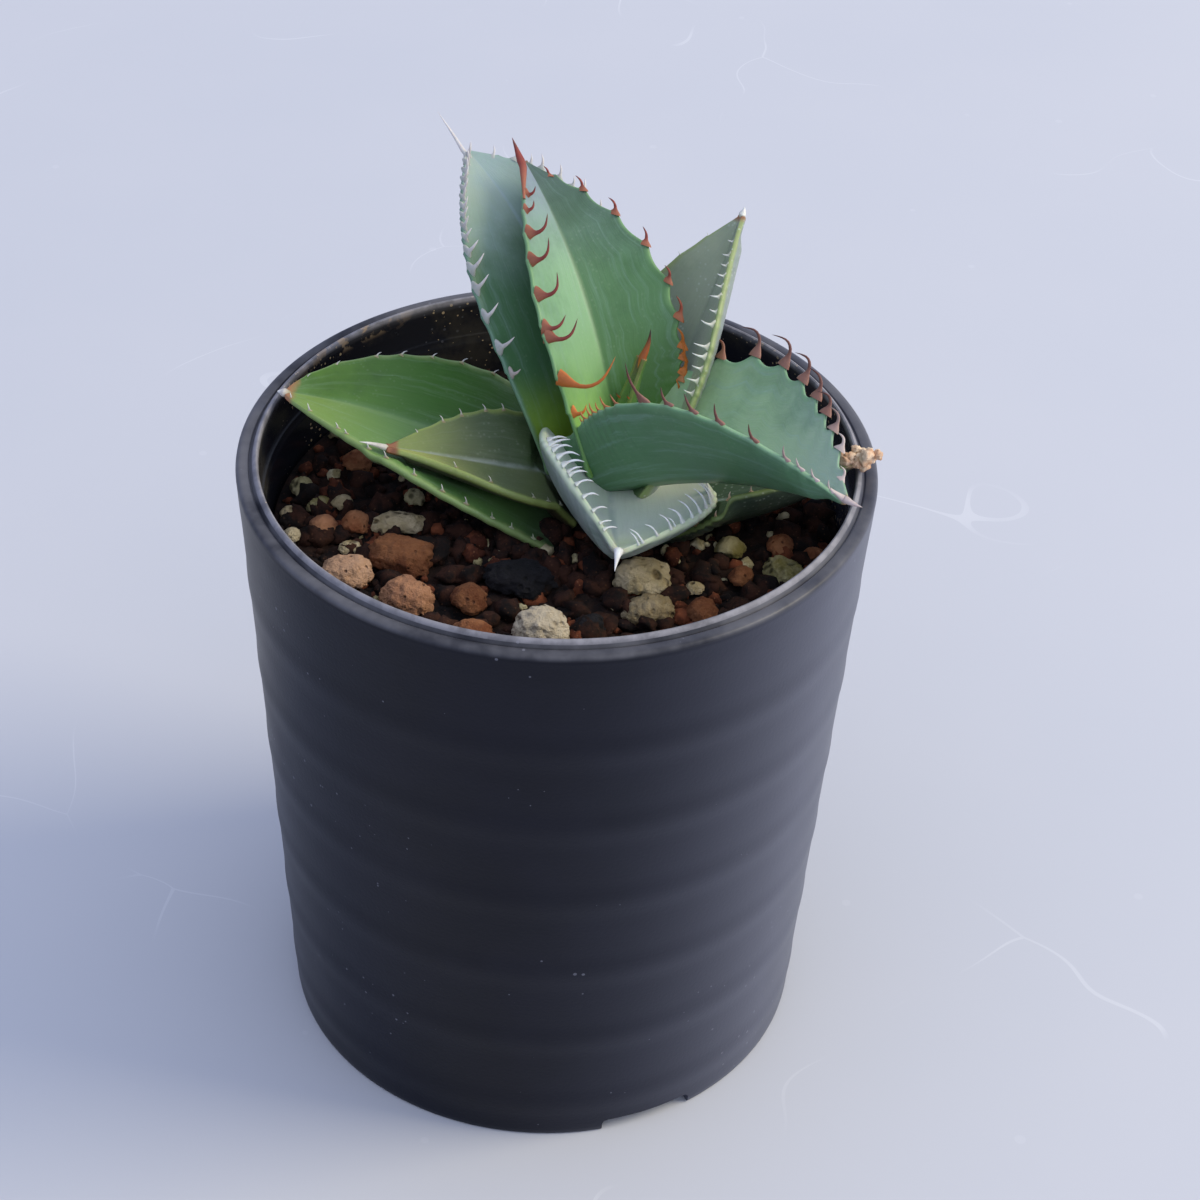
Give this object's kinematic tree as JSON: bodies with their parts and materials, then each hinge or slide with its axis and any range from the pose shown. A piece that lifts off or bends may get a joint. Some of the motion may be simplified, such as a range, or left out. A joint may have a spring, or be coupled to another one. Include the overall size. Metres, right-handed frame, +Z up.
{
  "type": "potted agave titanota",
  "caption": "Young agave titanota rosette with hooked marginal teeth and spine-tipped folded leaves, in gravelly soil in a plain round tapered black plastic nursery pot.",
  "frame": {"origin": "centre of the pot's underside, where it stands", "axes": "+Z up out of the pot's mouth; -Y towards the pictured side, where the short front leaf points; +X to that view's right, where the longest folded leaf points"},
  "size_m": [0.075, 0.075, 0.1075],
  "materials": {
    "pot_plastic": "satin",
    "gritty_soil": "matte",
    "crown": "matte",
    "leaf_bud": "satin",
    "leaf_centre": "satin",
    "leaf_right": "satin",
    "leaf_back_left": "satin",
    "leaf_front": "satin",
    "leaf_back_right": "satin",
    "leaf_left_upper": "satin",
    "leaf_right_lower": "satin",
    "leaf_left_lower": "satin",
    "pumice": "matte",
    "fired_clay": "matte",
    "lava": "matte",
    "stained_pumice": "matte"
  },
  "bodies": {
    "root": {"pot": "pot_plastic", "soil": "gritty_soil", "stem": "crown", "leaf_bud": "leaf_bud", "leaf_centre": "leaf_centre", "leaf_right": "leaf_right", "leaf_back_left": "leaf_back_left", "leaf_front": "leaf_front", "leaf_back_right": "leaf_back_right", "leaf_left_upper": "leaf_left_upper", "leaf_right_lower": "leaf_right_lower", "leaf_left_lower": "leaf_left_lower", "stained_pumice_1": "stained_pumice", "stained_pumice_2": "stained_pumice", "pumice_3": "pumice", "pumice_4": "pumice", "clay_5": "fired_clay", "pumice_6": "pumice", "clay_7": "fired_clay", "pumice_8": "pumice", "pumice_9": "pumice", "clay_10": "fired_clay", "clay_11": "fired_clay", "clay_12": "fired_clay", "clay_13": "fired_clay", "clay_14": "fired_clay", "pumice_15": "pumice", "lava_16": "lava", "lava_17": "lava", "stained_pumice_18": "stained_pumice", "pumice_19": "pumice", "pumice_20": "pumice", "clay_21": "fired_clay", "stained_pumice_22": "stained_pumice", "clay_23": "fired_clay", "clay_24": "fired_clay", "clay_25": "fired_clay", "stained_pumice_26": "stained_pumice", "pumice_27": "pumice", "clay_28": "fired_clay", "clay_29": "fired_clay", "clay_30": "fired_clay", "clay_31": "fired_clay", "pumice_32": "pumice", "clay_33": "fired_clay", "lava_34": "lava", "clay_35": "fired_clay", "pumice_36": "pumice", "clay_37": "fired_clay", "stained_pumice_38": "stained_pumice", "pumice_39": "pumice", "lava_40": "lava"}
  },
  "joints": []
}
